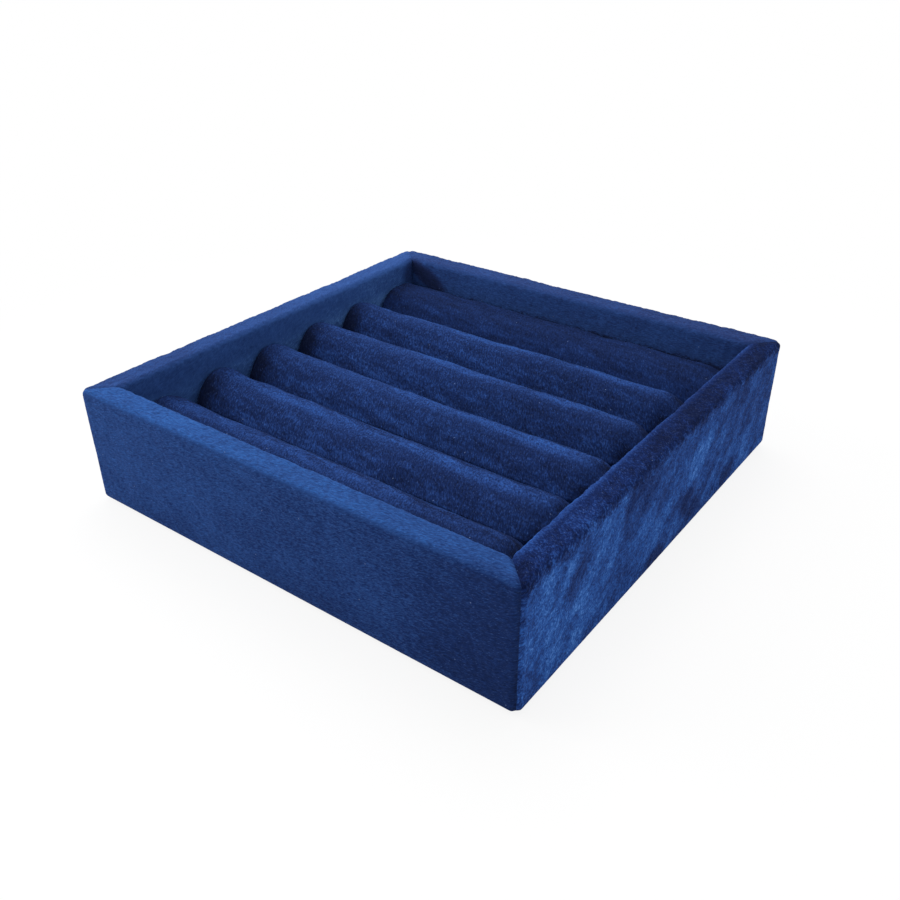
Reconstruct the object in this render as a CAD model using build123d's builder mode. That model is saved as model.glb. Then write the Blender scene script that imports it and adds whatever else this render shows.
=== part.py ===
"""Velvet jewelry tray with a lift-out pad of six padded rolls.

Millimetres. The origin is at the centre of the underside, +Z up. The rolls run along X
and the front wall faces -Y. The tray is four mitred boards round a rebated base board,
wrapped in velvet and closed underneath by a cover sheet. The pad is a thin board that
carries the rolls, each a foam bar in its own velvet sleeve, and it drops into the tray.
"""

import os
from math import cos, radians, sin, sqrt, tan

from build123d import *

# Tray: overall size
tray_length = 120.0
tray_depth = 120.0
tray_height = 30.0

# Tray: wall boards, mitred at the corners
board_thickness = 5.0
board_edge_round = 0.9
board_corner_round = 1.2
rebate_depth = 2.5

# Velvet, the glue under it and the hem turned in under the base
velvet_thickness = 0.7
glue_line = 0.1
hem_width = 10.0

# Base board and the cover sheet under it
base_board_thickness = 2.5
base_board_clearance = 0.15
cover_thickness = 0.7
cover_inset = 3.0
cover_corner_round = 2.0
cover_ramp_angle = 45.0

# Pad: board and rolls
pad_clearance = 0.35
pad_seat_gap = 0.2
pad_board_thickness = 1.5
pad_corner_round = 1.0
roll_count = 6
roll_height = 17.3
roll_crown_rise = 3.0
roll_shoulder_radius = 3.5
roll_end_round = 2.0
roll_end_steps = 2
slot_gap = 0.4
sleeve_slack = 0.1
sleeve_hem_width = 4.0

# Brads across the mitres, of flat wire
brad_width = 1.2
brad_gauge = 1.0
brad_length = 14.0
brad_sink = 0.3
brad_clearance = 0.02
brad_spacing_share = 0.5

# Overrun of every cut past the face that it leaves
overrun = 1.0

# Levels, from the ground up
hem_bottom = cover_thickness
hem_top = hem_bottom + velvet_thickness
board_bottom = hem_top + glue_line
base_board_top = board_bottom + base_board_thickness
pad_bottom = base_board_top + pad_seat_gap
roll_bottom = pad_bottom + pad_board_thickness
board_top = tray_height - velvet_thickness - glue_line

# Outline sizes that follow
wrap_thickness = velvet_thickness + glue_line
frame_length = tray_length - 2 * wrap_thickness
frame_depth = tray_depth - 2 * wrap_thickness
bare_well_length = frame_length - 2 * board_thickness
bare_well_depth = frame_depth - 2 * board_thickness
pad_length = bare_well_length - 2 * wrap_thickness - 2 * pad_clearance
pad_depth = bare_well_depth - 2 * wrap_thickness - 2 * pad_clearance
roll_pitch = pad_depth / roll_count
roll_width = roll_pitch - slot_gap

# The sides in order round the tray, each a quarter turn on from the one before
sides = ("front", "right", "back", "left")


def wall_frame(grow):
    """Frame of the four wall boards, with every face moved out by grow."""
    with BuildPart() as walls:
        with BuildSketch(Plane.XY.offset(board_bottom - grow)):
            RectangleRounded(
                frame_length + 2 * grow, frame_depth + 2 * grow, board_corner_round + grow
            )
            Rectangle(bare_well_length - 2 * grow, bare_well_depth - 2 * grow, mode=Mode.SUBTRACT)
        extrude(amount=board_top - board_bottom + 2 * grow)
        rim = walls.faces().sort_by(Axis.Z)[-1]
        foot = walls.faces().sort_by(Axis.Z)[0]
        fillet(rim.edges() + foot.outer_wire().edges(), board_edge_round + grow)
    return walls.part


def mitre_wedge(side):
    """Block that holds one side of the tray, cut at 45 degrees through both of its corners."""
    quarter_turns = sides.index(side)
    across = quarter_turns % 2 == 1
    run, reach = (tray_depth, tray_length) if across else (tray_length, tray_depth)
    outer_x = run / 2 + overrun
    outer_y = -reach / 2 - overrun
    depth = hem_width + 2 * overrun
    with BuildPart() as wedge:
        with BuildSketch(Plane.XY.rotated((0, 0, 90 * quarter_turns))):
            Polygon(
                (-outer_x, outer_y),
                (outer_x, outer_y),
                (outer_x - depth, outer_y + depth),
                (depth - outer_x, outer_y + depth),
                align=None,
            )
        extrude(amount=tray_height + overrun)
    return wedge.part


def brad_rods(clearance, outer_end, length):
    """Flat rods on the brads' lines: two across each mitre, driven from the left and the right.

    clearance is added all round each rod, and outer_end is how far inside the boards' outer
    face it starts.
    """
    middle_height = (base_board_top + board_top) / 2
    spacing = (board_top - base_board_top) * brad_spacing_share
    with BuildPart() as rods:
        for outward in (-1, 1):
            start = (outward * (frame_length / 2 - outer_end), 0, middle_height)
            with BuildSketch(Plane(origin=start, x_dir=(0, 1, 0), z_dir=(1, 0, 0))):
                with GridLocations(frame_depth - board_thickness, spacing, 2, 2):
                    Rectangle(brad_gauge + 2 * clearance, brad_width + 2 * clearance)
            extrude(amount=-outward * length)
    return rods.part


def roll_block(inset):
    """Bar with a roll's form at the pad's middle: flat under, crowned on top, its ends drawn in.

    inset is how far its faces lie inside the velvet's outer face.
    """
    end_round = roll_end_round - inset
    turns = [radians(90 * step / roll_end_steps) for step in range(roll_end_steps + 1)]
    end_stations = [(pad_length / 2 - inset - end_round * (1 - cos(turn)), 1 - sin(turn)) for turn in turns]
    stations = [(-reach, share) for reach, share in end_stations] + end_stations[::-1]
    crown_radius = ((roll_width / 2) ** 2 + roll_crown_rise**2) / (2 * roll_crown_rise)
    with BuildPart() as block:
        for reach, draw_share in stations:
            drawn_in = inset + draw_share * end_round
            half_width = roll_width / 2 - drawn_in
            crown = roll_height - drawn_in
            corner = roll_height - crown_radius + sqrt((crown_radius - drawn_in) ** 2 - half_width**2)
            across = Plane(origin=(reach, 0, roll_bottom), x_dir=(0, 1, 0), z_dir=(1, 0, 0))
            with BuildSketch(across) as section:
                with BuildLine():
                    Polyline(
                        (-half_width, corner), (-half_width, inset), (half_width, inset), (half_width, corner)
                    )
                    ThreePointArc((half_width, corner), (0, crown), (-half_width, corner))
                make_face()
                fillet(section.vertices().group_by(Axis.Y)[-1], roll_shoulder_radius - drawn_in)
        loft(ruled=True)
    return block.part


os.makedirs("parts", exist_ok=True)

# Wall boards: mitred, rebated for the base board and bored for the brads
board_frame = wall_frame(0)
brad_bores = brad_rods(brad_clearance, -overrun, brad_length + brad_sink + overrun)
for side in sides:
    wedge = mitre_wedge(side)
    with BuildPart() as wall_board:
        add(board_frame)
        with BuildSketch(Plane.XY.offset(board_bottom - overrun)):
            Rectangle(bare_well_length + 2 * rebate_depth, bare_well_depth + 2 * rebate_depth)
        extrude(amount=base_board_thickness + overrun, mode=Mode.SUBTRACT)
        add(brad_bores, mode=Mode.SUBTRACT)
        add(wedge, mode=Mode.INTERSECT)
    wall_board.part.label = f"wall_board_{side}"
    export_step(wall_board.part, f"parts/wall_board_{side}.step")

# Brads: sunk just under the boards' outer face
corner_brads = brad_rods(0, brad_sink, brad_length)
corner_brads.label = "corner_brads"
export_step(corner_brads, "parts/corner_brads.step")

# Base board: flush with the boards' undersides, inside the rebates
with BuildPart() as base_board:
    rebate_reach = 2 * (rebate_depth - base_board_clearance)
    with BuildSketch(Plane.XY.offset(board_bottom)):
        Rectangle(bare_well_length + rebate_reach, bare_well_depth + rebate_reach)
    extrude(amount=base_board_thickness)
base_board.part.label = "base_board"
export_step(base_board.part, "parts/base_board.step")

# Wall velvets: from the base board up the inside, over the rim, down the outside and under
velvet_outside = wall_frame(wrap_thickness)
velvet_inside = wall_frame(glue_line)
for side in sides:
    wedge = mitre_wedge(side)
    with BuildPart() as wall_velvet:
        add(velvet_outside)
        with BuildSketch(Plane.XY.offset(hem_bottom)):
            Rectangle(frame_length, frame_depth)
            Rectangle(tray_length - 2 * hem_width, tray_depth - 2 * hem_width, mode=Mode.SUBTRACT)
        extrude(amount=velvet_thickness)
        add(velvet_inside, mode=Mode.SUBTRACT)
        with BuildSketch(Plane.XY.offset(hem_top)):
            Rectangle(bare_well_length, bare_well_depth)
        extrude(amount=base_board_top + glue_line - hem_top, mode=Mode.SUBTRACT)
        add(wedge, mode=Mode.INTERSECT)
    wall_velvet.part.label = f"wall_velvet_{side}"
    export_step(wall_velvet.part, f"parts/wall_velvet_{side}.step")

# Base cover: its border lies over the hems and its middle steps up to the base board
step_height = board_bottom - cover_thickness
step_inset = cover_thickness * tan(radians(cover_ramp_angle) / 2)
panel_length = tray_length - 2 * (hem_width + glue_line)
panel_depth = tray_depth - 2 * (hem_width + glue_line)
with BuildPart() as base_cover:
    with BuildSketch():
        RectangleRounded(tray_length - 2 * cover_inset, tray_depth - 2 * cover_inset, cover_corner_round)
    extrude(amount=cover_thickness)
    with BuildSketch(Plane.XY.offset(cover_thickness)):
        Rectangle(panel_length, panel_depth)
    extrude(amount=step_height, taper=cover_ramp_angle)
    with BuildSketch():
        Rectangle(panel_length - 2 * step_inset, panel_depth - 2 * step_inset)
    extrude(amount=step_height, taper=cover_ramp_angle, mode=Mode.SUBTRACT)
base_cover.part.label = "base_cover"
export_step(base_cover.part, "parts/base_cover.step")

# Pad board: drops into the well with the rolls glued on top
with BuildPart() as pad_board:
    with BuildSketch(Plane.XY.offset(pad_bottom)):
        RectangleRounded(pad_length, pad_depth, pad_corner_round)
    extrude(amount=pad_board_thickness)
pad_board.part.label = "pad_board"
export_step(pad_board.part, "parts/pad_board.step")

# Rolls, front to back: each sleeve is turned in under its foam bar, which swells down inside the hems
foam_inset = velvet_thickness + sleeve_slack
sleeve_outside = roll_block(0)
sleeve_inside = roll_block(velvet_thickness)
foam_core = roll_block(foam_inset)
window_length = pad_length - 2 * sleeve_hem_width
window_width = roll_width - 2 * sleeve_hem_width
for number in range(1, roll_count + 1):
    roll_y = (number - (roll_count + 1) / 2) * roll_pitch

    with BuildPart() as roll_velvet:
        with Locations((0, roll_y)):
            add(sleeve_outside)
            add(sleeve_inside, mode=Mode.SUBTRACT)
        with BuildSketch(Plane((0, roll_y, roll_bottom - overrun))):
            Rectangle(window_length, window_width)
        extrude(amount=velvet_thickness + 2 * overrun, mode=Mode.SUBTRACT)
    roll_velvet.part.label = f"roll_velvet_{number}"
    export_step(roll_velvet.part, f"parts/roll_velvet_{number}.step")

    with BuildPart() as roll_foam:
        with Locations((0, roll_y)):
            add(foam_core)
        with BuildSketch(Plane((0, roll_y, roll_bottom))):
            Rectangle(window_length - 2 * sleeve_slack, window_width - 2 * sleeve_slack)
        extrude(amount=foam_inset + overrun)
    roll_foam.part.label = f"roll_foam_{number}"
    export_step(roll_foam.part, f"parts/roll_foam_{number}.step")
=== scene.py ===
"""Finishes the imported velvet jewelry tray: camera, stage, cloth, cushions and materials.

The frame is in metres. Sizes of the cloth and the cushions are written in millimetres, as in
the part's source, and each mesh is scaled by MM when it is made. The tray stands on z = 0 with
its rolls along X and its front wall facing -Y.
"""

import logging
import math
from collections.abc import Sequence
from dataclasses import dataclass, replace
from enum import Enum
from typing import Union

import bmesh
import bpy
import numpy as np
from mathutils import Matrix, Vector


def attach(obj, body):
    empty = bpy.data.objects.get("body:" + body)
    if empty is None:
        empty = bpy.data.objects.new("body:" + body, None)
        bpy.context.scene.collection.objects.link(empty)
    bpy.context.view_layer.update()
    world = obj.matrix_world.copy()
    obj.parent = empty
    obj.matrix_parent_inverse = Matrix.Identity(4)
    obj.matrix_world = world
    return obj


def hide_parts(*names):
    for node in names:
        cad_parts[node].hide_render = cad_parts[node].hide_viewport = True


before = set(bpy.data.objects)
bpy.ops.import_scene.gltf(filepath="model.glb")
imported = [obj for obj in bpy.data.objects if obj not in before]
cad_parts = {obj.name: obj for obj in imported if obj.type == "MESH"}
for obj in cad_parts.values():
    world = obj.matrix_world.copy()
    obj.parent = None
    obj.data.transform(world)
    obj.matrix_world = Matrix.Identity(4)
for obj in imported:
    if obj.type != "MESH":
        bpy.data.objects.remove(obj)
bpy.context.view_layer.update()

MM = 0.001
TINY = 1e-6
PILE_MAP = "Pile"
SHADE_LEVELS = (0.0, 0.3, 0.5, 0.7, 1.0)
LATTICE_SHAPE = (97, 89)

# On the rolls' shared pile map, the middle of roll n lies at n times this
ROLL_MAP_STEP = 300.0

Colour = tuple[float, float, float, float]
Pair = tuple[float, float]
Triple = tuple[float, float, float]
Socket = Union["Signal", float, Sequence[float]]
Material = bpy.types.Material
Owner = Material | bpy.types.World
Thing = bpy.types.Object
Array = np.ndarray

WHITE: Colour = (1.0, 1.0, 1.0, 1.0)

log = logging.getLogger("tray")


def paint(red: int, green: int, blue: int) -> Colour:
    """Turns a colour as seen on a screen into the linear one that shaders take.

    Args:
        red, green, blue: from 0 to 255.

    Returns:
        The linear colour with full alpha.
    """
    shares = [part / 255 for part in (red, green, blue)]
    linear = [s / 12.92 if s <= 0.04045 else ((s + 0.055) / 1.055) ** 2.4 for s in shares]
    return (*linear, 1.0)


def shades(*colours: tuple[int, int, int]) -> tuple[tuple[float, Colour], ...]:
    """The colours of a pile from deep shade to full light, at the levels that all piles share."""
    return tuple((level, paint(*colour)) for level, colour in zip(SHADE_LEVELS, colours))


def placed(name: str, data: bpy.types.ID) -> Thing:
    """Makes an object and links it to the scene.

    Args:
        name: the object's name.
        data: its mesh, camera or lamp.

    Returns:
        The object.
    """
    made = bpy.data.objects.new(name, data)
    bpy.context.scene.collection.objects.link(made)
    return made


# ---- shaders


class Signal:
    """One socket of a shader, with Python's arithmetic for the number that it carries."""

    def __init__(self, shader: "Shader", socket: bpy.types.NodeSocket) -> None:
        """Keeps the socket and the shader that it belongs to."""
        self.shader = shader
        self.socket = socket

    def _maths(self, operation: str, first: Socket, second: Socket) -> "Signal":
        """Adds one Math node and returns its result."""
        return self.shader.node("ShaderNodeMath", {"operation": operation}, {0: first, 1: second})

    def __add__(self, other: Socket) -> "Signal":
        """Adds a number or signal."""
        return self._maths("ADD", self, other)

    __radd__ = __add__

    def __sub__(self, other: Socket) -> "Signal":
        """Subtracts a number or signal."""
        return self._maths("SUBTRACT", self, other)

    def __rsub__(self, other: Socket) -> "Signal":
        """Subtracts this signal from a number."""
        return self._maths("SUBTRACT", other, self)

    def __mul__(self, other: Socket) -> "Signal":
        """Multiplies by a number or signal."""
        return self._maths("MULTIPLY", self, other)

    __rmul__ = __mul__

    def __abs__(self) -> "Signal":
        """The number without its sign."""
        return self.shader.node("ShaderNodeMath", {"operation": "ABSOLUTE"}, {0: self})


class Shader:
    """The node tree of a material or a world, built one node at a time."""

    BUMP_STRENGTH = 0.4

    def __init__(self, owner: Owner) -> None:
        """Empties the owner's node tree."""
        self.owner = owner
        self.owner.use_nodes = True
        self.tree = self.owner.node_tree
        self.tree.nodes.clear()

    @classmethod
    def of_material(cls, name: str) -> "Shader":
        """Starts a new material of that name."""
        return cls(bpy.data.materials.new(name))

    def node(
        self, kind: str, settings: dict, sockets: dict, output: int | str = 0
    ) -> Signal | None:
        """Adds a node.

        Args:
            kind: the node's type.
            settings: its properties, set first; "stops" are a ramp's (place, colour) pairs.
            sockets: a value or signal for each input, by name or number.
            output: the output that is returned.

        Returns:
            The chosen output, or None for a node that has none.
        """
        made = self.tree.nodes.new(kind)
        for name, value in settings.items():
            if name == "stops":
                ramp = made.color_ramp
                while len(ramp.elements) < len(value):
                    ramp.elements.new(0.5)
                for element, (place, colour) in zip(ramp.elements, value):
                    element.position, element.color = place, colour
            else:
                setattr(made, name, value)
        for key, value in sockets.items():
            if isinstance(value, Signal):
                self.tree.links.new(value.socket, made.inputs[key])
            else:
                made.inputs[key].default_value = value
        return Signal(self, made.outputs[output]) if made.outputs else None

    def vector(self, operation: str, sockets: dict, output: int | str = 0) -> Signal:
        """Adds one Vector Math node and returns the chosen output."""
        return self.node("ShaderNodeVectorMath", {"operation": operation}, sockets, output)

    def flat(self, place: Signal) -> tuple[Signal, Signal]:
        """The X and the Y of a place."""
        x, y = (self.node("ShaderNodeSeparateXYZ", {}, {"Vector": place}, axis) for axis in "XY")
        return x, y

    def part_place(self) -> Signal:
        """The place in the part's own frame, in millimetres."""
        metres = self.node("ShaderNodeTexCoord", {}, {}, "Object")
        return self.vector("SCALE", {0: metres, "Scale": 1 / MM})

    def step(self, value: Signal, start: float, end: float) -> Signal:
        """Smooth step from 0 at start to 1 at end, which may be the smaller of the two."""
        sockets = {"Value": value, "From Min": start, "From Max": end}
        return self.node("ShaderNodeMapRange", {"interpolation_type": "SMOOTHSTEP"}, sockets)

    def blend(self, first: Socket, second: Socket, mask: Socket) -> Signal:
        """Mixes two colours, from the first where the mask is 0 to the second where it is 1."""
        return self.node("ShaderNodeMix", {"data_type": "RGBA"}, {0: mask, 6: first, 7: second}, 2)

    def lay(self, place: Signal, centre: Pair, angle: float, size: Triple) -> Signal:
        """Measures places from a centre, along a direction and in units of a size.

        Args:
            place, centre: the coordinates and where they start, in millimetres.
            angle: the direction of the length, in degrees.
            size: length, width and depth of one unit.

        Returns:
            The new coordinates.
        """
        turn = (0, 0, math.radians(angle))
        sockets = {"Vector": place, "Location": (*centre, 0), "Rotation": turn, "Scale": size}
        return self.node("ShaderNodeMapping", {"vector_type": "TEXTURE"}, sockets)

    def noise(
        self,
        place: Signal,
        size: Pair,
        angle: float = 0.0,
        detail: float = 2.0,
        rough: float = 0.5,
        span: Pair | None = None,
    ) -> Signal:
        """Noise drawn out along a direction.

        Args:
            place: the coordinates, in millimetres.
            size: length and width of one of its blots, in millimetres.
            angle: the direction of the length, in degrees.
            detail, rough: how many finer octaves it has, and how strong each is.
            span: the part of its range that is spread over 0 to 1, if any.

        Returns:
            A signal from 0 to 1 around 0.5.
        """
        laid = self.lay(place, (0, 0), angle, (*size, size[1]))
        sockets = {"Vector": laid, "Scale": 1.0, "Detail": detail, "Roughness": rough}
        plain_noise = self.node("ShaderNodeTexNoise", {}, sockets)
        return self.step(plain_noise, *span) if span else plain_noise

    def bump(self, height: Signal, depth: float) -> Signal:
        """A normal that follows a height from 0 to 1, which stands for a depth in millimetres."""
        sockets = {"Strength": self.BUMP_STRENGTH, "Distance": depth * MM, "Height": height}
        return self.node("ShaderNodeBump", {}, sockets)

    def rays(self, kind: str) -> Signal:
        """1 for rays of one kind, such as Camera, and 0 for others."""
        return self.node("ShaderNodeLightPath", {}, {}, f"Is {kind} Ray")

    def finish(self, surface: Signal) -> Owner:
        """Connects the surface to the owner's output.

        Args:
            surface: the shaded surface.

        Returns:
            The owner.
        """
        kind = "World" if isinstance(self.owner, bpy.types.World) else "Material"
        self.node(f"ShaderNodeOutput{kind}", {}, {"Surface": surface})
        return self.owner

    def principled(self, sockets: dict) -> Owner:
        """Finishes the owner with a Principled surface and returns it."""
        return self.finish(self.node("ShaderNodeBsdfPrincipled", {}, sockets))


@dataclass(frozen=True)
class PileLieAndPaintedLight:
    """How the pile leans round the cloth, and the light and shade painted on it, as a level from
    0, in deep shade, to 1, fully lit.

    Each change is (distance round the cloth, how soft the change is, the level after it).
    """

    start: float
    changes: tuple[Triple, ...] = ()


@dataclass(frozen=True)
class BrushMarkOrPaintedLight:
    """A place where a hand has stroked the pile another way, or a painted shade or highlight.

    It is an oval, given by its middle on the cloth, half its length and width, the angle of its
    length, and how much it changes the level.
    """

    along: float
    around: float
    length: float
    width: float
    angle: float
    change: float


@dataclass(frozen=True)
class VelvetFinish:
    """Cut velvet, whose colour follows the way that its pile leans and the light and shade painted
    on it.

    Three layers of noise make its texture: strokes, tufts that run almost along them, and pressed
    patches, and pale painted glints lighten it. A size is a blot's length and width, and a depth
    how much the layer changes the level. The drift runs along the cloth, the painted end shade
    sets in towards the tray's left and right, and the painted seam shade at the mitres. inside is
    the texture's strength on the well's side, fray how far patches move the edges of the painted
    light levels, and curl how far the grain swirls.
    """

    # How the velvet itself is made, whichever way it is brushed, and its painted glints
    SWIRL_SCALE = 0.22
    FINE_SPAN = (0.3, 0.7)
    STROKE_FRAY = 0.7
    TUFT_TURN = 12.0
    TUFT_FRAY = 0.6
    PATCH_SPAN = (0.28, 0.72)
    # Painted highlights: pale glints of light on the pile, which lighten its level and its colour
    GLINT_SIZE = (0.7, 0.15)
    GLINT_SPAN = (0.6, 0.78)
    GLINT_TURN = -8.0
    GLINT_DEPTH = 0.6
    GLINT_SHARE = 0.55
    GLINT_COLOUR = paint(116, 142, 190)
    DUST_SCALE = 0.06
    DUST_SPAN = (0.01, 0.005)
    DUST_SHARE = 0.4
    DUST_COLOUR = paint(130, 152, 196)
    MARK_SPAN = (1.25, 0.45)
    RIM_SPAN = (23.0, 27.0)
    RELIEF_DEPTH = 0.2
    SHEEN_TINT = paint(92, 134, 225)

    name: str
    lie_and_light: PileLieAndPaintedLight
    stroke_angle: float
    stroke_size: Pair = (0.95, 0.3)
    stroke_depth: float = 0.16
    tuft_size: Pair = (2.4, 0.8)
    tuft_depth: float = 0.08
    patch_size: Pair = (15, 9)
    patch_angle: float = 0.0
    patch_depth: float = 0.08
    marks: tuple[BrushMarkOrPaintedLight, ...] = ()
    drift: float = 0.0
    drift_reach: float = 60.0
    end_shade: float = 0.0
    end_reach: Pair = (45.5, 51.5)
    seam_shade: float = 0.0
    seam_reach: Pair = (1.3, 0.1)
    inside: float = 1.0
    fray: float = 0.6
    curl: float = 1.0
    sheen: float = 0.2
    stops: tuple[tuple[float, Colour], ...] = shades(
        (8, 19, 52), (18, 38, 88), (33, 63, 125), (42, 87, 162), (88, 140, 212)
    )

    def level(self, shader: Shader, around: Signal, along: Signal) -> Signal:
        """The light and shade painted round the cloth with the pile's lean, before marks and
        texture.

        Args:
            shader: the velvet's shader.
            around: the distance round the cloth, with a ragged edge.
            along: the distance along the cloth.

        Returns:
            The level.
        """
        level, before = self.lie_and_light.start, self.lie_and_light.start
        for place, blur, after in self.lie_and_light.changes:
            level = level + (after - before) * shader.step(around, place - blur, place + blur)
            before = after
        if self.drift:
            level = level + self.drift * shader.step(along, -self.drift_reach, self.drift_reach)
        if self.end_shade or self.seam_shade:
            x, y = shader.flat(shader.vector("ABSOLUTE", {0: shader.part_place()}))
            level = level - self.end_shade * shader.step(x, *self.end_reach)
            level = level - self.seam_shade * shader.step(abs(x - y), *self.seam_reach)
        return level

    def brushed_and_painted_light(self, shader: Shader, place: Signal) -> Signal | float:
        """The change of level that the brush marks, painted shade and painted highlights make at
        each place.

        Args:
            shader: the velvet's shader.
            place: coordinates on the cloth.

        Returns:
            The change, or 0 where there are no marks.
        """
        change = 0.0
        for mark in self.marks:
            size = (mark.length, mark.width, 1.0)
            own = shader.lay(place, (mark.along, mark.around), mark.angle, size)
            far = shader.vector("LENGTH", {0: own}, "Value")
            change = change + mark.change * shader.step(far, *self.MARK_SPAN)
        return change

    def material(self) -> Material:
        """Builds the velvet's material.

        Returns:
            The material, which reads the cloth's own map, in millimetres.
        """
        shader = Shader.of_material(self.name)
        cloth = shader.node("ShaderNodeUVMap", {"uv_map": PILE_MAP}, {})
        swirling = {"Vector": cloth, "Scale": self.SWIRL_SCALE}
        swirl = shader.node("ShaderNodeTexNoise", {}, swirling, "Color")
        centred = shader.vector("SUBTRACT", {0: swirl, 1: (0.5, 0.5, 0.5)})
        turned = shader.vector("SCALE", {0: centred, "Scale": self.curl})
        place = shader.vector("ADD", {0: cloth, 1: turned})
        along, around = shader.flat(cloth)

        way = self.stroke_angle
        strokes = shader.noise(place, self.stroke_size, way, 4.0, 0.62, self.FINE_SPAN)
        tufts = shader.noise(place, self.tuft_size, way + self.TUFT_TURN, 3.0, 0.6, self.FINE_SPAN)
        patches = shader.noise(place, self.patch_size, self.patch_angle, 4.0, 0.6, self.PATCH_SPAN)
        # Painted glints: sparse pale specks that raise the level and blend the colour towards pale
        # blue
        glints = shader.noise(cloth, self.GLINT_SIZE, way + self.GLINT_TURN, 1.0, 0.5, self.GLINT_SPAN)
        glints = self.stroke_depth * glints

        ragged = (
            around
            + self.STROKE_FRAY * (strokes - 0.5)
            + self.TUFT_FRAY * (tufts - 0.5)
            + self.fray * (patches - 0.5)
        )
        texture = (
            self.patch_depth * (patches - 0.5)
            + self.stroke_depth * (strokes - 0.5)
            + self.tuft_depth * (tufts - 0.5)
            + self.GLINT_DEPTH * glints
        )
        if self.inside < 1:
            outside = shader.step(around, *self.RIM_SPAN)
            texture = texture * (self.inside + (1 - self.inside) * outside)
        # The level of painted light and shade, with the marks and texture, picks the colour from
        # the ramp
        lean = self.level(shader, ragged, along) + self.brushed_and_painted_light(shader, place) + texture
        colour = shader.node("ShaderNodeValToRGB", {"stops": self.stops}, {"Fac": lean})

        spots = {"Vector": cloth, "Scale": self.DUST_SCALE}
        specks = shader.node("ShaderNodeTexVoronoi", {"voronoi_dimensions": "2D"}, spots)
        dust = self.DUST_SHARE * shader.step(specks, *self.DUST_SPAN)
        colour = shader.blend(colour, self.DUST_COLOUR, dust)
        # Painted highlight: the glints blend the colour towards a pale blue
        colour = shader.blend(colour, self.GLINT_COLOUR, self.GLINT_SHARE * glints)

        height = 0.6 * strokes + 0.6 * tufts + 0.4 * patches
        return shader.principled(
            {
                "Base Color": colour,
                "Roughness": 1.0 - 0.12 * strokes,
                "Normal": shader.bump(height, self.RELIEF_DEPTH),
                "Specular IOR Level": 0.06,
                "Sheen Weight": self.sheen,
                "Sheen Roughness": 0.42,
                "Sheen Tint": self.SHEEN_TINT,
            }
        )


@dataclass(frozen=True)
class BoardFinish:
    """Pressed board: fibres, clouds and flecks on a plain ground."""

    name: str
    ground: Colour
    fleck: Colour
    fibre_size: Pair
    roughness: float

    def material(self) -> Material:
        """Builds the board's material from the part's own coordinates.

        Returns:
            The material.
        """
        shader = Shader.of_material(self.name)
        place = shader.part_place()
        fibres = shader.noise(place, self.fibre_size, angle=20, detail=4.0, span=(0.38, 0.68))
        clouds = shader.noise(place, (14, 9))
        flecks = shader.noise(place, (1.1, 0.5), angle=65, detail=1.0, span=(0.62, 0.7))
        mask = 0.5 * fibres + 0.35 * clouds + 0.3 * flecks
        return shader.principled(
            {
                "Base Color": shader.blend(self.ground, self.fleck, mask),
                "Roughness": self.roughness + 0.1 * fibres,
                "Normal": shader.bump(mask, 0.12),
                "Specular IOR Level": 0.3,
            }
        )


@dataclass(frozen=True)
class SteelFinish:
    """Drawn steel wire with faint lengthwise scratches."""

    name: str
    bright: Colour
    dull: Colour

    def material(self) -> Material:
        """Builds the wire's material.

        Returns:
            The material.
        """
        shader = Shader.of_material(self.name)
        lines = shader.noise(shader.part_place(), (6.0, 0.08), detail=3.0, span=(0.35, 0.7))
        return shader.principled(
            {
                "Base Color": shader.blend(self.bright, self.dull, lines),
                "Roughness": 0.28 + 0.2 * lines,
                "Metallic": 1.0,
            }
        )


# ---- meshes


def smooth(share: Array) -> Array:
    """Eases a share that goes from 0 to 1, so that it has no slope at either end."""
    return share * share * (3 - 2 * share)


def quarter_round(from_end: Array, reach: float) -> Array:
    """How far a quarter round has drawn in: from 0 at its reach from the end to 1 at the end."""
    return 1 - np.sqrt(1 - np.clip(1 - from_end / reach, 0, 1) ** 2)


def relief(seed: int, spacing: float, height: float, along: Array, around: Array) -> Array:
    """Smooth seeded relief over a flat map, for cloth and foam that are never quite even.

    Args:
        seed: fixes the relief.
        spacing: the distance between its swells.
        height: the most that it rises or sinks.
        along, around: the places where it is read.

    Returns:
        The rise at each place.
    """
    lattice = np.random.default_rng(seed).uniform(-1, 1, LATTICE_SHAPE)
    a, b = np.broadcast_arrays(along / spacing, around / spacing)
    i, j = np.floor(a).astype(int), np.floor(b).astype(int)
    s, t = smooth(a - i), smooth(b - j)
    rows, columns = LATTICE_SHAPE

    def corner(di: int, dj: int) -> Array:
        """The lattice's values one way from each place."""
        return lattice[(i + di) % rows, (j + dj) % columns]

    near = corner(0, 0) * (1 - s) + corner(1, 0) * s
    far = corner(0, 1) * (1 - s) + corner(1, 1) * s
    return height * (near * (1 - t) + far * t)


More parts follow.
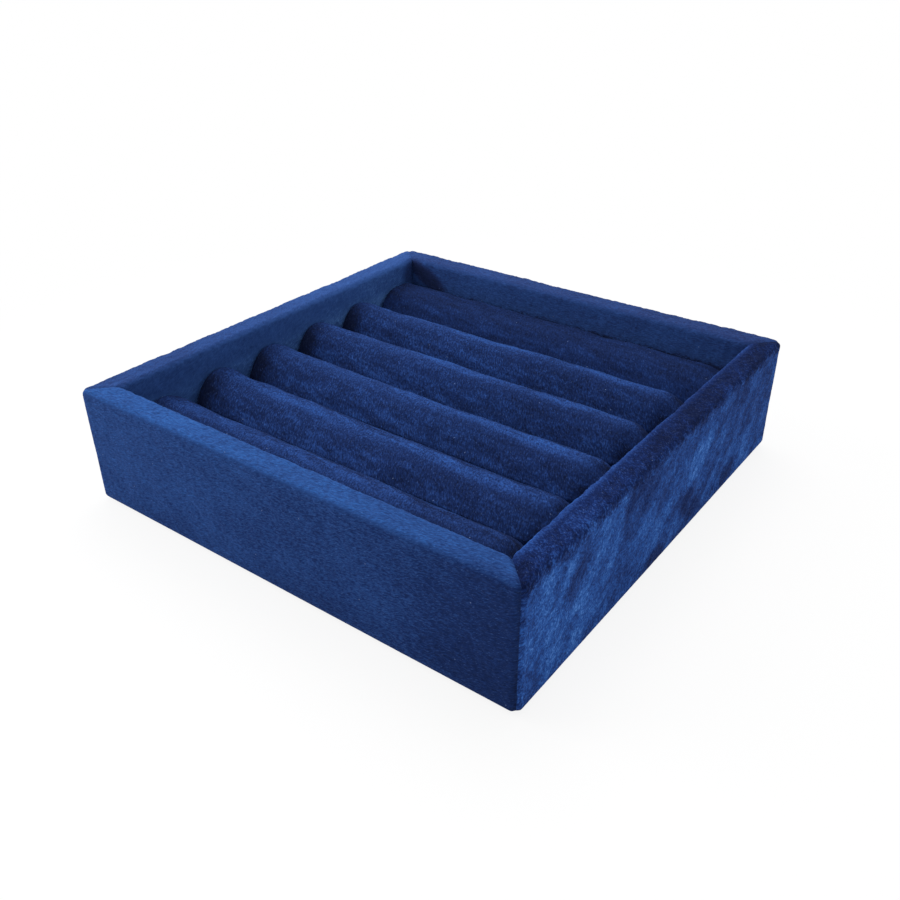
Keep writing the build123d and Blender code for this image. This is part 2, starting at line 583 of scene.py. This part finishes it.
class MeshMaker:
    """Collects grids of points and the faces between them, and makes one mesh object."""

    def __init__(self) -> None:
        """Starts empty."""
        self.points: list[Array] = []
        self.maps: list[Array] = []
        self.faces: list[tuple[int, ...]] = []
        self.count = 0

    def grid(self, points: Array, pile_map: Array, closed: bool = False) -> Array:
        """Adds a grid with its faces.

        Args:
            points: rows by columns by 3, in millimetres.
            pile_map: rows by columns by 2, in millimetres.
            closed: whether the last column joins the first.

        Returns:
            The numbers of the grid's points, rows by columns.
        """
        rows, columns = points.shape[:2]
        numbers = self.count + np.arange(rows * columns).reshape(rows, columns)
        self.points.append(points.reshape(-1, 3))
        self.maps.append(pile_map.reshape(-1, 2))
        self.count += rows * columns
        around = np.concatenate([numbers, numbers[:, :1]], axis=1) if closed else numbers
        for first, second in zip(around[:-1], around[1:]):
            self.strip(first, second)
        return numbers

    def strip(self, first: Array, second: Array) -> None:
        """Adds quads between two rows of points."""
        for k in range(len(first) - 1):
            self.faces.append((first[k], first[k + 1], second[k + 1], second[k]))

    def lid(self, loop: Array) -> None:
        """Adds one face over a closed loop of points."""
        self.faces.append(tuple(loop))

    def make(self, name: str, material: Material) -> Thing:
        """Makes the object, shaded smooth, with faces that all look outward.

        Args:
            name: the object's name.
            material: its finish.

        Returns:
            The object, linked to the scene.
        """
        mesh = bpy.data.meshes.new(name)
        points = np.concatenate(self.points) * MM
        faces = [tuple(int(number) for number in face) for face in self.faces]
        mesh.from_pydata(points.tolist(), [], faces)
        flat = np.concatenate(self.maps)
        corner = np.zeros(len(mesh.loops), int)
        mesh.loops.foreach_get("vertex_index", corner)
        layer = mesh.uv_layers.new(name=PILE_MAP)
        layer.data.foreach_set("uv", flat[corner].astype(np.float32).ravel())
        mesh.materials.append(material)
        shape = bmesh.new()
        shape.from_mesh(mesh)
        bmesh.ops.recalc_face_normals(shape, faces=shape.faces)
        shape.to_mesh(mesh)
        shape.free()
        mesh.shade_smooth()
        log.info("%s: %d points, %d faces", name, len(mesh.vertices), len(mesh.polygons))
        return placed(name, mesh)


def normals_of(points: Array) -> Array:
    """Unit normals of a grid whose columns close on themselves.

    Args:
        points: rows by columns by 3.

    Returns:
        The normals, in the same shape.
    """
    down = np.gradient(points, axis=0)
    across = np.roll(points, -1, axis=1) - np.roll(points, 1, axis=1)
    normal = np.cross(down, across)
    return normal / np.maximum(np.linalg.norm(normal, axis=2, keepdims=True), TINY)


def eased(length: float, step: float, ease: float, fine: float) -> Array:
    """Places from -length to length, closer together near both ends.

    Args:
        length: half the run.
        step: spacing in the middle.
        ease: how far from each end the finer spacing reaches.
        fine: spacing there.

    Returns:
        The places in order.
    """
    end = np.arange(0, ease, fine)
    count = max(2, math.ceil(2 * (length - ease) / step))
    middle = np.linspace(-length + ease, length - ease, count)
    return np.concatenate([-length + end, middle, (length - end)[::-1]])


# ---- the tray


class Side(Enum):
    """The tray's sides in order round it, each a quarter turn on from the one before."""

    FRONT = "front"
    RIGHT = "right"
    BACK = "back"
    LEFT = "left"

    @property
    def order(self) -> int:
        """The side's place in the order, from 0."""
        return list(Side).index(self)

    @property
    def turn(self) -> Matrix:
        """The turn about Z that brings the front wall to this side."""
        return Matrix.Rotation(math.radians(90) * self.order, 4, "Z")


@dataclass
class VelvetWall:
    """The strip of velvet wrapped round one wall board, mitred at both ends.

    The swells of its relief are (spacing, height). The hem stays flat.
    """

    side: Side
    finish: VelvetFinish
    half_run: float = 60.0
    rim_height: float = 30.0
    wall_depth: float = 6.6
    inner_foot: float = 4.1
    hem_level: float = 0.7
    hem_reach: float = 10.0
    hem_flat: float = 9.6
    edge_round: float = 1.3
    corner_round: float = 1.7
    thickness: float = 0.7
    seam_depth: float = 0.28
    seam_width: float = 0.7
    seam_fade: float = 2.5
    edge_fade: float = 4.0
    swells: tuple[Pair, ...] = ((17.0, 0.16), (5.0, 0.09), (1.7, 0.07), (0.6, 0.1))
    relief_shift: float = 300.0
    step: float = 0.4
    end_reach: float = 2.6
    end_step: float = 0.3

    def section(self) -> tuple[Array, Array, Array]:
        """The wrap's outline across the wall, from the well's foot over the rim to the hem.

        Returns:
            Points (depth in from the outer face, height), their outward normals, and the
            distance of each round the cloth.
        """
        r = self.edge_round
        top, foot = self.rim_height - r, self.hem_level + r
        legs: list[Array] = []

        def straight(start: Pair, end: Pair, step: float) -> None:
            """Adds a straight stretch with points about a step apart."""
            pieces = math.ceil(math.dist(start, end) / step)
            legs.append(np.linspace(start, end, pieces + 1)[:-1])

        def bend(centre: Pair, begin: float) -> None:
            """Adds a quarter bend, turning left from the angle begin."""
            turn = np.radians(begin + np.linspace(0, 90, 7)[:-1])
            legs.append(np.array(centre) + r * np.stack([np.cos(turn), np.sin(turn)], axis=1))

        straight((self.wall_depth, self.inner_foot), (self.wall_depth, top), 2 * self.step)
        bend((self.wall_depth - r, top), 0)
        straight((self.wall_depth - r, self.rim_height), (r, self.rim_height), self.step)
        bend((r, top), 90)
        straight((0, top), (0, foot), 1.3 * self.step)
        bend((r, foot), 180)
        straight((r, self.hem_level), (self.hem_reach, self.hem_level), 3 * self.step)
        line = np.concatenate([*legs, [(self.hem_reach, self.hem_level)]])
        way = np.gradient(line, axis=0)
        way /= np.linalg.norm(way, axis=1, keepdims=True)
        outward = np.stack([way[:, 1], -way[:, 0]], axis=1)
        lengths = np.linalg.norm(np.diff(line, axis=0), axis=1)
        return line, outward, np.concatenate([[0], np.cumsum(lengths)])

    def surface(self, share: Array, depth: Array, height: Array) -> tuple[Array, Array]:
        """Lays section points out along the wall, up to the mitre planes and round the corners.

        Args:
            share: how far along each point is, from -1 at one mitre to 1 at the other.
            depth: how far in from the outer face it is.
            height: its height.

        Returns:
            The points, and how far along the cloth each is.
        """
        centre = self.half_run - self.corner_round
        radius = np.maximum(self.corner_round - depth, 0)
        round_reach = centre + radius * math.pi / 4
        reach = np.where(depth < self.corner_round, round_reach, self.half_run - depth)
        run = np.abs(share) * reach
        past = np.clip(run - centre, 0, None)
        turn = np.where(radius > TINY, past / np.maximum(radius, TINY), 0)
        x = np.where(turn > 0, centre + radius * np.sin(turn), run)
        y = np.where(turn > 0, -centre - radius * np.cos(turn), depth - self.half_run)
        return np.stack([np.sign(share) * x, y, height], axis=-1), np.sign(share) * run

    def rise(self, share: Array, around: Array) -> Array:
        """How far the cloth stands out from its plain form.

        Args:
            share: how far along each column is, from -1 to 1.
            around: how far round the cloth each row is.

        Returns:
            The rise of each row and column, below 0 in the seams' grooves.
        """
        seed = 10 * (self.side.order + 1)
        run = share * self.half_run + self.relief_shift
        rise = sum(relief(seed + n, *swell, run, around) for n, swell in enumerate(self.swells))
        from_seam = (1 - np.abs(share)) * self.half_run
        from_hem = around[-1] - around - self.hem_flat
        rise = rise * np.clip(from_seam / self.seam_fade, 0, 1)
        rise = rise * np.clip(around / self.edge_fade, 0, 1)
        rise = rise * np.clip(from_hem / self.edge_fade, 0, 1)
        return rise - self.seam_depth * np.exp(-((from_seam / self.seam_width) ** 2))

    def build(self) -> Thing:
        """Builds the strip as a closed skin of the cloth's thickness.

        Returns:
            The strip, riding on the tray in place of its CAD node.
        """
        line, outward, along = self.section()
        spacings = (self.step, self.end_reach, self.end_step)
        share = eased(1.0, *(length / self.half_run for length in spacings))[None, :]
        around = along[:, None]
        rise = self.rise(share, around)
        maker = MeshMaker()
        grids = []
        for lift in (rise, np.full_like(rise, -self.thickness)):
            depth = line[:, :1] + outward[:, :1] * lift
            height = line[:, 1:] + outward[:, 1:] * lift
            points, reach = self.surface(np.broadcast_to(share, depth.shape), depth, height)
            pile_map = np.stack([reach, np.broadcast_to(around, reach.shape)], axis=-1)
            grids.append(maker.grid(points, pile_map))
        outer, inner = grids
        for edge in (np.s_[0, :], np.s_[-1, :], np.s_[:, 0], np.s_[:, -1]):
            maker.strip(outer[edge], inner[edge])
        piece = maker.make(f"velvet_{self.side.value}", self.finish.material())
        piece.data.transform(self.side.turn)
        node = f"wall_velvet_{self.side.value}"
        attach(piece, "tray")
        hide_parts(node)
        flat = (2 * self.half_run * MM, along[-1] * MM)
        return piece


@dataclass
class BaseCover:
    """The cover sheet glued over the hems and the base board, seen only from below.

    Its border lies on the ground, and a ramp steps up from it to the middle. The border's insets
    are the first loops' distances from the edge.
    """

    finish: VelvetFinish
    half_side: float = 57.0
    corner_round: float = 2.0
    least_round: float = 0.4
    border: float = 7.1
    border_insets: tuple[float, ...] = (0, 0.15, 0.5, 1.5, 3, 4.5, 6, 6.7)
    ramp_reach: float = 0.9
    ramp_run: float = 0.8
    step_up: float = 0.8
    thickness: float = 0.7
    loop_step: float = 1.5
    swell: Pair = (11.0, 0.05)
    relief_shift: float = 200.0
    relief_inset: float = 2.0
    relief_fade: float = 4.0

    def outline(self, inset: float) -> Array:
        """A rounded square, inset from the sheet's edge.

        Args:
            inset: how far inside the edge it runs.

        Returns:
            Its points (x, y), the same number for every inset.
        """
        half = self.half_side - inset
        radius = min(max(self.corner_round - inset, self.least_round), half / 2)
        middle = half - radius
        turns = np.radians(np.linspace(0, 90, 6)[1:-1])
        side = [(half, y) for y in np.linspace(-middle, middle, 61)]
        bend = [(middle + radius * math.cos(t), middle + radius * math.sin(t)) for t in turns]
        points = []
        for quarter in range(4):
            a = math.radians(90 * quarter)
            toward = np.array([[math.cos(a), -math.sin(a)], [math.sin(a), math.cos(a)]])
            points += [toward @ p for p in side + bend]
        return np.array(points)

    def build(self) -> Thing:
        """Builds the sheet as a closed skin of the cloth's thickness.

        Returns:
            The sheet, riding on the tray in place of its CAD node.
        """
        ramp = self.border + np.linspace(0, self.ramp_reach, 6)
        inner = np.arange(ramp[-1] + self.loop_step, self.half_side - 2, self.loop_step)
        insets = np.concatenate([self.border_insets, ramp, inner])
        plan = np.array([self.outline(inset) for inset in insets])
        level = self.step_up * smooth(np.clip((insets - self.border) / self.ramp_run, 0, 1))
        inside = np.clip((insets - self.border - self.relief_inset) / self.relief_fade, 0, 1)
        x, y = np.moveaxis(plan, -1, 0)
        rise = relief(91, *self.swell, x + self.relief_shift, y + self.relief_shift)
        rise = inside[:, None] * (rise - self.swell[1])
        maker = MeshMaker()
        low, high = (
            maker.grid(np.stack([x, y, level[:, None] + lift + rise], axis=-1), plan, closed=True)
            for lift in (0.0, self.thickness)
        )
        maker.strip(np.append(low[0], low[0, 0]), np.append(high[0], high[0, 0]))
        maker.lid(low[-1])
        maker.lid(high[-1])
        piece = maker.make("underside_cover", self.finish.material())
        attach(piece, "tray")
        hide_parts("base_cover")
        return piece


# ---- the pad


@dataclass
class Roll:
    """One velvet roll of the pad: a soft bar with a crowned top and drawn-in ends.

    The crest gives (x, height) along the top. Both ends are rounded at the front, the top and the
    foot, and towards the right end the top tapers as well. Swells are (spacing, height).
    """

    number: int
    crest: tuple[Pair, ...]
    middle_number: float = 3.5
    half_length: float = 53.05
    half_width: float = 8.62
    pitch: float = 17.683
    bottom: float = 5.72
    spring: float = 17.9
    foot_round: float = 1.0
    end_round: float = 5.0
    end_draw: float = 2.1
    end_drop: float = 0.6
    end_lip: float = 1.4
    foot_draw: float = 2.0
    taper_start: float = 43.0
    taper_end: float = 51.0
    taper_draw: float = 3.2
    taper_drop: float = 2.8
    crown_power: float = 2.3
    back_power: float = 2.3
    flank_power: float = 1.4
    waver: Pair = (21.0, 0.14)
    sway: float = 0.04
    sway_run: float = 17.0
    sway_fade: float = 10.0
    swells: tuple[Pair, ...] = ((8.0, 0.27), (2.0, 0.08), (0.8, 0.06))
    relief_shift: float = 200.0
    relief_foot: Pair = (2.0, 5.0)
    relief_side: Pair = (9.3, 2.4)
    relief_fade: float = 3.0
    crest_blur: int = 15
    step: float = 0.7
    end_step: float = 0.35

    @property
    def centre(self) -> float:
        """How far behind the middle of the pad the roll's axis lies."""
        return (self.number - self.middle_number) * self.pitch

    def crest_line(self, x: Array) -> Array:
        """The crest before its ends sink.

        Args:
            x: places along the roll.

        Returns:
            Its height at each place.
        """
        waver = relief(500 + self.number, *self.waver, x + self.relief_shift, np.zeros_like(x))
        places, heights = np.array(self.crest).T
        kernel = np.hanning(self.crest_blur)
        even = np.pad(np.interp(x, places, heights), self.crest_blur // 2, mode="edge")
        return np.convolve(even, kernel / kernel.sum(), mode="valid") + waver

    def sections(self, x: Array) -> tuple[Array, int]:
        """The roll's cross sections, as loops from the back spring over the crest.

        Args:
            x: where along the roll each section lies.

        Returns:
            Points (distance behind the axis, height), sections by points, and the number of the
            point on the crest.
        """
        from_end = self.half_length - np.abs(x)
        run = self.taper_end - self.taper_start
        taper = smooth(np.clip((x - self.taper_start) / run, 0, 1))
        end_curve = quarter_round(from_end, self.end_round)
        foot_half = self.half_width - self.foot_draw * quarter_round(from_end, self.foot_draw)
        back_half = np.minimum(foot_half, self.half_width - self.taper_draw * taper)
        front_half = np.minimum(back_half, self.half_width - self.end_draw * end_curve)
        lip = self.end_drop * quarter_round(from_end, self.end_lip)
        crown = self.crest_line(x) - lip - self.taper_drop * taper - self.spring

        over = np.radians([0, *np.linspace(11.25, 168.75, 43), 180])
        at_back = over < math.pi / 2
        power = np.where(at_back, self.back_power, self.crown_power)
        top_y = np.cos(over) * np.where(at_back, back_half[:, None], front_half[:, None])
        top_z = self.spring + crown[:, None] * (1 - np.abs(np.cos(over)) ** power)
        levels = np.linspace(self.spring, self.bottom + self.foot_round, 12)[1:]
        lean = ((levels - levels[-1]) / (self.spring - levels[-1])) ** self.flank_power
        bend = np.radians(np.linspace(0, 90, 5)[1:])
        foot = foot_half[:, None]
        toe = foot - self.foot_round * (1 - np.cos(bend))
        heights = [*levels, *(self.bottom + self.foot_round * (1 - np.sin(bend)))]

        def flank(half: Array) -> Array:
            """One side from the spring down, as distances from the axis and heights."""
            width = np.concatenate([foot + (half[:, None] - foot) * lean, toe], axis=1)
            return np.stack([width, np.broadcast_to(heights, width.shape)], axis=-1)

        top = np.stack([top_y, top_z], axis=-1)
        front = flank(front_half) * np.array([-1.0, 1.0])
        under = (foot - self.foot_round) * np.linspace(-1, 1, 9)[1:-1]
        below = np.stack([under, np.full_like(under, self.bottom)], axis=-1)
        back = flank(back_half)[:, ::-1]
        return np.concatenate([top, front, below, back], axis=1), len(over) // 2

    def rise(self, x: Array, around: Array, height: Array) -> Array:
        """How far the velvet stands out from the plain form.

        Args:
            x: where each section lies.
            around: how far round from the crest each point of a section is.
            height: the points' heights, sections by points.

        Returns:
            The rise, sections by points: none near the foot, the sides and the ends.
        """
        place = x[:, None] + self.relief_shift, around + self.relief_shift
        seeds = (600 + self.number, 700 + self.number, 800 + self.number)
        rise = sum(relief(seed, *swell, *place) for seed, swell in zip(seeds, self.swells))
        clear, fade = self.relief_foot
        seat = np.clip((height - self.bottom - clear) / fade, 0, 1)
        reach, fade = self.relief_side
        seat = seat * np.clip((reach - np.abs(around)) / fade, 0, 1)
        from_end = self.half_length - np.abs(x)
        return seat * np.clip(from_end / self.relief_fade, 0, 1)[:, None] * rise

    def build(self, material: Material) -> Thing:
        """Builds the roll as one closed cushion.

        Args:
            material: the rolls' velvet.

        Returns:
            The cushion, riding on the pad in place of its CAD nodes.
        """
        x = eased(self.half_length, self.step, self.end_round, self.end_step)
        loop, crest_point = self.sections(x)
        sway = self.sway * np.sin(x / self.sway_run + self.number)
        sway = sway * np.clip((self.half_length - np.abs(x)) / self.sway_fade, 0, 1)
        points = np.empty((*loop.shape[:2], 3))
        points[..., 0] = x[:, None]
        points[..., 1] = loop[..., 0] + self.centre + sway[:, None]
        points[..., 2] = loop[..., 1]

        steps = np.linalg.norm(np.diff(loop, axis=1), axis=2).mean(axis=0)
        around = np.concatenate([[0], np.cumsum(steps)])
        around = around - around[crest_point]
        rise = self.rise(x, around, points[..., 2])
        points = points + normals_of(points) * rise[..., None]

        along = x[:, None] + ROLL_MAP_STEP * self.number
        pile_map = np.stack(np.broadcast_arrays(along, around), axis=-1)
        maker = MeshMaker()
        loops = maker.grid(points, pile_map, closed=True)
        maker.lid(loops[0])
        maker.lid(loops[-1])
        piece = maker.make(f"cushion_{self.number}", material)
        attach(piece, "pad")
        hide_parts(f"roll_velvet_{self.number}", f"roll_foam_{self.number}")
        return piece


# ---- the picture


@dataclass
class View:
    """The camera, where the photographer's was. Its place is in metres."""

    place: Triple = (0.12017, -0.15971, 0.12512)
    azimuth: float = 36.805
    elevation: float = 30.818
    roll: float = -0.349
    lens: float = 36.966
    sensor: float = 36.0
    nearest: float = 0.005

    def build(self) -> None:
        """Makes the camera and gives it to the scene."""
        az, el = math.radians(self.azimuth), math.radians(self.elevation)
        flat = math.cos(el)
        forward = Vector((-math.sin(az) * flat, math.cos(az) * flat, -math.sin(el)))
        turn = forward.to_track_quat("-Z", "Y").to_matrix().to_4x4()
        tilt = Matrix.Rotation(math.radians(self.roll), 4, "Z")
        lens = bpy.data.cameras.new("camera")
        lens.lens, lens.sensor_width, lens.clip_start = self.lens, self.sensor, self.nearest
        camera = placed("camera", lens)
        camera.matrix_world = Matrix.Translation(self.place) @ turn @ tilt
        bpy.context.scene.camera = camera


@dataclass(frozen=True)
class Lamp:
    """A square area lamp that faces the tray: its place and side in metres, its power in watts."""

    name: str
    place: Triple
    side: float
    power: float

    def build(self) -> None:
        """Hangs the lamp."""
        data = bpy.data.lights.new(self.name, "AREA")
        data.shape, data.size, data.energy = "SQUARE", self.side, self.power
        lamp = placed(self.name, data)
        lamp.location = self.place
        lamp.rotation_euler = (-Vector(self.place)).to_track_quat("-Z", "Y").to_euler()


@dataclass
class Studio:
    """A pale floor, a soft lamp overhead, a weaker one at the left, and an even pale world.

    The floor is nearly white by the tray, which leaves a faint shadow, and white further out.
    Sizes are in metres.
    """

    floor_reach: float = 8.0
    floor_level: float = -0.00005
    floor_colour: Colour = (0.86, 0.86, 0.86, 1.0)
    near_white: float = 0.87
    shadow_reach: Pair = (0.08, 0.2)
    world_level: float = 0.72
    lamps: tuple[Lamp, ...] = (
        Lamp("lamp_over", (-0.14, 0.2, 0.62), 0.5, 2.6),
        Lamp("lamp_left", (-0.42, -0.24, 0.3), 0.3, 1.2),
    )

    def paper(self) -> Material:
        """The floor's material: white for the eye and for reflections, but not for its light.

        Returns:
            The material.
        """
        shader = Shader.of_material("floor_paper")
        lit = shader.node("ShaderNodeBsdfDiffuse", {}, {"Color": self.floor_colour})
        white = shader.node("ShaderNodeEmission", {}, {"Color": WHITE, "Strength": 1.0})
        place = shader.node("ShaderNodeTexCoord", {}, {}, "Object")
        away = shader.step(shader.vector("LENGTH", {0: place}, "Value"), *self.shadow_reach)
        share = self.near_white + (1 - self.near_white) * away
        shown = shader.rays("Camera") + shader.rays("Glossy") + shader.rays("Transmission")
        mixed = shader.node("ShaderNodeMixShader", {}, {0: share * shown, 1: lit, 2: white})
        return shader.finish(mixed)

    def floor(self) -> None:
        """Makes the floor."""
        mesh = bpy.data.meshes.new("floor")
        r = self.floor_reach
        mesh.from_pydata([(-r, -r, 0), (r, -r, 0), (r, r, 0), (-r, r, 0)], [], [(0, 1, 2, 3)])
        mesh.materials.append(self.paper())
        floor = placed("floor", mesh)
        floor.location.z = self.floor_level

    def world(self) -> None:
        """Makes the world, which lights the tray evenly and shows plain white."""
        sky = Shader(bpy.data.worlds.new("studio"))
        light, shown = (
            sky.node("ShaderNodeBackground", {}, {"Color": WHITE, "Strength": strength})
            for strength in (self.world_level, 1.0)
        )
        mixed = sky.node("ShaderNodeMixShader", {}, {0: sky.rays("Camera"), 1: light, 2: shown})
        bpy.context.scene.world = sky.finish(mixed)

    def build(self) -> None:
        """Makes the floor, the lamps and the world, and sets how colours are shown."""
        self.floor()
        for lamp in self.lamps:
            lamp.build()
        self.world()
        bpy.context.scene.view_settings.view_transform = "Standard"


# ---- finishes and places

# Painted shade: a greyer ramp for the back and left walls, whose well sides stand in shade
SHADE_GREYED_STOPS = shades((22, 30, 54), (31, 44, 86), (40, 68, 124), (52, 87, 150), (94, 142, 210))

FRONT_FINISH = VelvetFinish(
    "velvet_front",
    PileLieAndPaintedLight(0.44, ((25.2, 0.6, 0.58), (31.9, 0.35, 0.45), (50.0, 9.0, 0.41))),
    stroke_angle=-14,
    stroke_depth=0.24,
    patch_angle=10,
    stops=shades((9, 20, 50), (19, 39, 85), (34, 64, 119), (43, 88, 155), (88, 140, 208)),
    marks=(
        BrushMarkOrPaintedLight(57.5, 28.5, 5.0, 2.4, 0, 0.05),
        BrushMarkOrPaintedLight(56, 48, 22, 22, 0, -0.13),
        BrushMarkOrPaintedLight(8, 41, 17, 6, -22, -0.035),
        BrushMarkOrPaintedLight(-22, 52, 18, 5, 12, 0.03),
        BrushMarkOrPaintedLight(34, 55, 14, 4, 25, 0.03),
    ),
    drift=-0.06,
    seam_shade=0.1,
)

RIGHT_FINISH = VelvetFinish(
    "velvet_right",
    PileLieAndPaintedLight(0.4, ((24.6, 0.5, 0.52), (26.8, 1.2, 0.22), (32.8, 1.8, 0.53))),
    stroke_angle=-52,
    stroke_size=(0.5, 0.38),
    stroke_depth=0.36,
    tuft_size=(1.5, 1.2),
    tuft_depth=0.18,
    patch_size=(10, 6),
    patch_angle=-48,
    patch_depth=0.31,
    marks=(
        BrushMarkOrPaintedLight(-44, 46, 21, 17, 0, 0.1),
        BrushMarkOrPaintedLight(-41, 41, 6.5, 3.6, -60, -0.2),
        BrushMarkOrPaintedLight(-16, 38, 9, 7, -30, -0.14),
        BrushMarkOrPaintedLight(-6, 51, 9, 5, -20, 0.1),
        BrushMarkOrPaintedLight(-6, 58, 6, 2.6, 10, -0.24),
        BrushMarkOrPaintedLight(10, 53, 9, 3.8, 38, -0.26),
        BrushMarkOrPaintedLight(13, 42, 12, 4.5, -30, 0.12),
        BrushMarkOrPaintedLight(45, 40, 18, 9, -10, -0.06),
        BrushMarkOrPaintedLight(44, 53, 7, 3.6, -50, 0.18),
        BrushMarkOrPaintedLight(33, 56, 5, 3.2, -30, -0.18),
        BrushMarkOrPaintedLight(22, 28.6, 46, 4.2, 0, -0.16),
    ),
    drift=-0.03,
    seam_shade=0.14,
    seam_reach=(2.4, 0.1),
    inside=0.4,
    fray=1.4,
    curl=1.8,
    sheen=0.06,
)

BACK_FINISH = VelvetFinish(
    "velvet_back",
    # Painted shade: the well side is darker at its foot, by the back roll
    PileLieAndPaintedLight(0.2, ((17.6, 0.5, 0.44), (25.6, 0.7, 0.35), (31.9, 0.5, 0.42))),
    stroke_angle=-5,
    stops=SHADE_GREYED_STOPS,
    patch_angle=-10,
    # Painted shadow: a dark wedge on the well side by the back left corner
    marks=(BrushMarkOrPaintedLight(48, 21.3, 8.5, 2.8, 27, -0.34),),
    drift=0.06,
)

LEFT_FINISH = VelvetFinish(
    "velvet_left",
    # Painted light: the well side is lighter low down, where the rolls shade it
    PileLieAndPaintedLight(0.8, ((19.2, 1.4, 0.7), (25.4, 0.5, 0.57), (31.9, 0.5, 0.45))),
    stroke_angle=-30,
    stops=SHADE_GREYED_STOPS,
    patch_angle=20,
    # Painted shade in the back left corner of the well
    marks=(BrushMarkOrPaintedLight(-53, 21, 4.5, 5.5, 0, -0.3),),
    drift=-0.14,
)

WALL_FINISHES = dict(zip(Side, (FRONT_FINISH, RIGHT_FINISH, BACK_FINISH, LEFT_FINISH)))

# The rolls that a brush mark, painted highlight or painted shade is on, and the mark, with its
# place along measured from their middle
ROLL_MARKS_AND_PAINTED_LIGHT = (
    ((1,), (40, 0.0, 20, 9.0, 0, -0.1)),
    # Painted highlights: lighter streaks on the crest ribbons
    ((2,), (20, -1.8, 20, 2.4, 4, 0.08)),
    ((2,), (-25, -1.4, 12, 2.2, -3, 0.07)),
    ((3,), (30, -1.2, 15, 2.8, 5, 0.1)),
    ((3,), (0, -2.2, 18, 1.8, 3, 0.06)),
    ((4,), (-8, -1.8, 18, 2.2, 4, 0.1)),
    ((4,), (28, -1.4, 9, 2.2, -4, 0.08)),
    ((5,), (-10, -2.2, 22, 2.2, 3, 0.09)),
    ((5,), (30, -1.4, 10, 2.4, 6, 0.1)),
    (range(2, 6), (-18, 5.0, 34, 6.0, 0, 0.07)),
    # Painted shade: dark hollows at the rolls' right and left ends
    (range(1, 6), (52.5, -4.0, 8.0, 4.6, -12, -0.44)),
    (range(2, 6), (51.0, 9.2, 6.2, 4.2, 12, -0.32)),
    (range(2, 6), (-51.0, 8.0, 4.8, 5.5, -15, -0.26)),
)

ROLL_FINISH = VelvetFinish(
    "velvet_rolls",
    # Painted highlight: a lighter ribbon just behind each crest, with darker near faces
    PileLieAndPaintedLight(0.28, ((-5.3, 0.9, 0.38), (-3.2, 1.2, 0.4), (0.6, 1.6, 0.22), (8.0, 3.0, 0.27))),
    stroke_angle=60,
    stroke_size=(0.75, 0.34),
    stroke_depth=0.3,
    tuft_size=(2.2, 0.8),
    tuft_depth=0.1,
    patch_size=(9, 2.2),
    patch_angle=8,
    patch_depth=0.18,
    stops=shades((10, 19, 46), (20, 39, 84), (34, 63, 122), (44, 87, 160), (88, 140, 212)),
    marks=tuple(
        BrushMarkOrPaintedLight(ROLL_MAP_STEP * number + x, *rest)
        for rolls, (x, *rest) in ROLL_MARKS_AND_PAINTED_LIGHT
        for number in rolls
    ),
    end_shade=0.1,
    fray=4.0,
    sheen=0.05,
)

# Painted shade: the back roll's velvet is a darker copy of the rolls' velvet, with no crest
# highlight
SHADED_BACK_ROLL_FINISH = replace(
    ROLL_FINISH,
    name="velvet_back_roll_shaded",
    lie_and_light=PileLieAndPaintedLight(0.18, ((-2.0, 3.0, 0.2), (5.0, 2.0, 0.23))),
    stroke_depth=0.22,
    marks=(),
    end_shade=0.08,
)

COVER_FINISH = VelvetFinish(
    "velvet_underside", PileLieAndPaintedLight(0.26), stroke_angle=40, stroke_depth=0.12, patch_size=(18, 14)
)

BOARD_FINISHES = {
    "wall_board": BoardFinish(
        "fibreboard", paint(176, 140, 98), paint(120, 90, 60), (3.0, 0.5), 0.78
    ),
    "base_board": BoardFinish(
        "hardboard", paint(112, 80, 52), paint(70, 48, 32), (4.0, 0.35), 0.6
    ),
    "pad_board": BoardFinish(
        "greyboard", paint(150, 146, 138), paint(110, 106, 100), (2.5, 0.4), 0.86
    ),
}

STEEL = SteelFinish("brad_steel", paint(178, 178, 180), paint(120, 120, 124))

ROLL_CRESTS = {
    1: ((-53, 23.4), (-46, 22.6), (0, 22.0), (53, 21.7)),
    2: ((-53, 24.0), (-46, 22.4), (0, 21.5), (53, 21.2)),
    3: ((-53, 24.2), (-46, 23.2), (0, 22.5), (53, 22.2)),
    4: ((-53, 24.2), (-46, 23.9), (0, 23.7), (53, 23.4)),
    5: ((-53, 24.4), (-46, 24.2), (0, 24.0), (53, 23.8)),
    6: ((-53, 24.0), (-46, 23.8), (0, 23.4), (53, 23.4)),
}

# The back roll is less pressed than the others: its ends and its back keep their full form
BACK_ROLL = max(ROLL_CRESTS)
BACK_ROLL_FORM = dict(
    end_round=3.0, end_draw=0.8, taper_draw=1.0, taper_drop=1.0, back_power=7.0
)


def dress_boards() -> None:
    """Gives the boards and brads, whose CAD shapes are right, their finishes."""
    materials = {stem: finish.material() for stem, finish in BOARD_FINISHES.items()}
    materials["corner_brads"] = STEEL.material()
    for name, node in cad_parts.items():
        for stem, material in materials.items():
            if name.startswith(stem):
                for slot in node.material_slots:
                    slot.material = material
                log.info("%s: %s", name, material.name)


def main() -> None:
    """Builds the picture and every piece in order."""
    logging.basicConfig(level=logging.INFO, format="%(message)s")
    View().build()
    Studio().build()
    for side, finish in WALL_FINISHES.items():
        VelvetWall(side, finish).build()
    BaseCover(COVER_FINISH).build()
    roll_velvet = ROLL_FINISH.material()
    shaded_back_roll_velvet = SHADED_BACK_ROLL_FINISH.material()
    for number, crest in ROLL_CRESTS.items():
        if number == BACK_ROLL:
            Roll(number, crest, **BACK_ROLL_FORM).build(shaded_back_roll_velvet)
        else:
            Roll(number, crest).build(roll_velvet)
    dress_boards()


if __name__ == "__main__":
    main()
